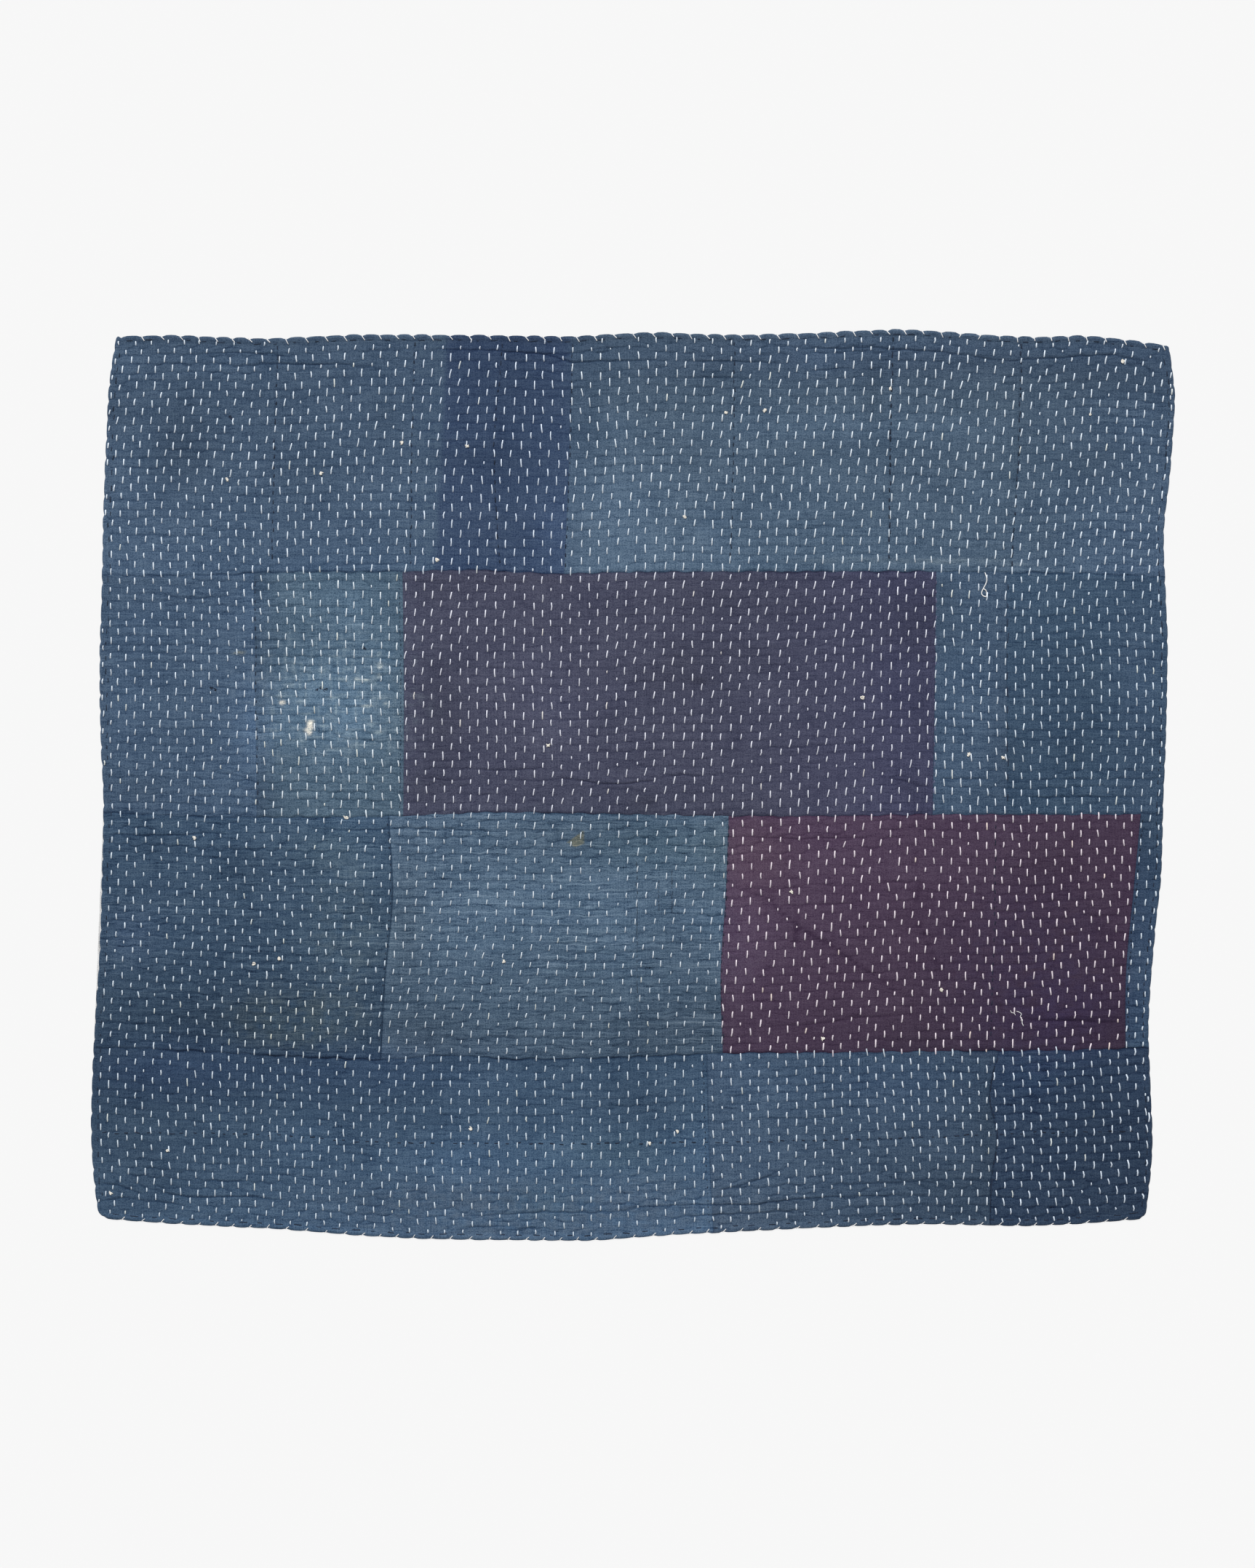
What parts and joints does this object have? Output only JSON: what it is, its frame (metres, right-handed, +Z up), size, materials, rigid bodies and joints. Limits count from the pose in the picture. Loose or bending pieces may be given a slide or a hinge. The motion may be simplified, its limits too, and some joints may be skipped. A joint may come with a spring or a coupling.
{
  "type": "boro blanket",
  "caption": "Flat patchwork cotton blanket of indigo, purple and plum panels, quilted with running stitches, with a rolled hem.",
  "frame": {"origin": "under the middle of the blanket's box, on the surface that it lies on", "axes": "+X along the bands, +Y towards the top band, +Z up through the cloth"},
  "size_m": [1.4882, 1.2528, 0.0046],
  "materials": {
    "indigo_midnight": "washed plain-weave cotton",
    "indigo_deep": "washed plain-weave cotton",
    "indigo_dark": "washed plain-weave cotton",
    "indigo_mid": "washed plain-weave cotton",
    "indigo_light": "washed plain-weave cotton",
    "indigo_pale": "bleached and worn plain-weave cotton",
    "grey_purple": "washed plain-weave cotton",
    "plum": "washed plain-weave cotton",
    "thread_white": "thick off-white cotton thread",
    "thread_indigo": "dark indigo cotton thread"
  },
  "bodies": {
    "root": {"panel_top_1": "indigo_mid", "panel_top_2": "indigo_mid", "panel_top_3": "indigo_deep", "panel_top_4": "indigo_deep", "panel_top_5": "indigo_light", "panel_top_6": "indigo_light", "panel_top_7": "indigo_light", "panel_top_8": "indigo_mid", "panel_upper_1": "indigo_mid", "panel_upper_2": "indigo_pale", "panel_upper_3": "grey_purple", "panel_upper_4": "indigo_mid", "panel_upper_5": "indigo_dark", "panel_lower_1": "indigo_dark", "panel_lower_2": "indigo_light", "panel_lower_3": "plum", "panel_lower_4": "indigo_dark", "panel_bottom_1": "indigo_dark", "panel_bottom_2": "indigo_mid", "panel_bottom_3": "indigo_midnight"}
  },
  "joints": []
}
